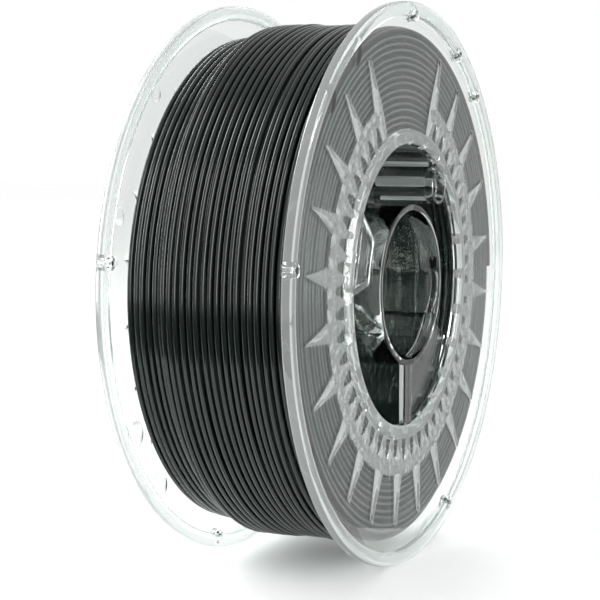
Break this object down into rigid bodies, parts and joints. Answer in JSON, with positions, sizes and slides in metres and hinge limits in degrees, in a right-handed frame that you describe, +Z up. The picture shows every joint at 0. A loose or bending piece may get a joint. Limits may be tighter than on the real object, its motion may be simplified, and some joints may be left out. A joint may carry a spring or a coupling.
{
  "type": "filament spool",
  "caption": "Clear moulded spool with two round flanges, a slotted hub and a plain spindle bore, wound with dark printer filament.",
  "frame": {"origin": "centre of the spindle bore, half way between the two flanges' outer faces, which is the middle of the bounding box", "axes": "+Z up as the spool stands on its rims, Y along the spindle axis with the front flange towards -Y, +X to the right seen from the front"},
  "size_m": [0.2, 0.07, 0.2],
  "materials": {
    "clear_shell": "clear, polished moulding",
    "filament": "dark anthracite, glossy extruded strand"
  },
  "bodies": {
    "root": {"front_rim": "clear_shell", "front_flange_plate": "clear_shell", "front_ray_ring": "clear_shell", "front_barrel": "clear_shell", "front_spindle_tube": "clear_shell", "front_duct_panel": "clear_shell", "front_duct_wall_low": "clear_shell", "front_duct_wall_high": "clear_shell", "front_spoke": "clear_shell", "front_hub_tab": "clear_shell", "front_ring_boss": "clear_shell", "front_barrel_rib_1": "clear_shell", "front_barrel_rib_2": "clear_shell", "front_barrel_rib_3": "clear_shell", "front_hole_boss_1": "clear_shell", "front_hole_boss_2": "clear_shell", "front_hole_boss_3": "clear_shell", "front_hole_boss_4": "clear_shell", "front_hole_boss_5": "clear_shell", "rear_rim": "clear_shell", "rear_flange_plate": "clear_shell", "rear_ray_ring": "clear_shell", "rear_barrel": "clear_shell", "rear_spindle_tube": "clear_shell", "rear_duct_panel": "clear_shell", "rear_duct_wall_low": "clear_shell", "rear_duct_wall_high": "clear_shell", "rear_spoke": "clear_shell", "rear_hub_tab": "clear_shell", "rear_ring_boss": "clear_shell", "rear_barrel_rib_1": "clear_shell", "rear_barrel_rib_2": "clear_shell", "rear_barrel_rib_3": "clear_shell", "rear_hole_boss_1": "clear_shell", "rear_hole_boss_2": "clear_shell", "rear_hole_boss_3": "clear_shell", "rear_hole_boss_4": "clear_shell", "rear_hole_boss_5": "clear_shell", "filament_winding": "filament"}
  },
  "joints": []
}
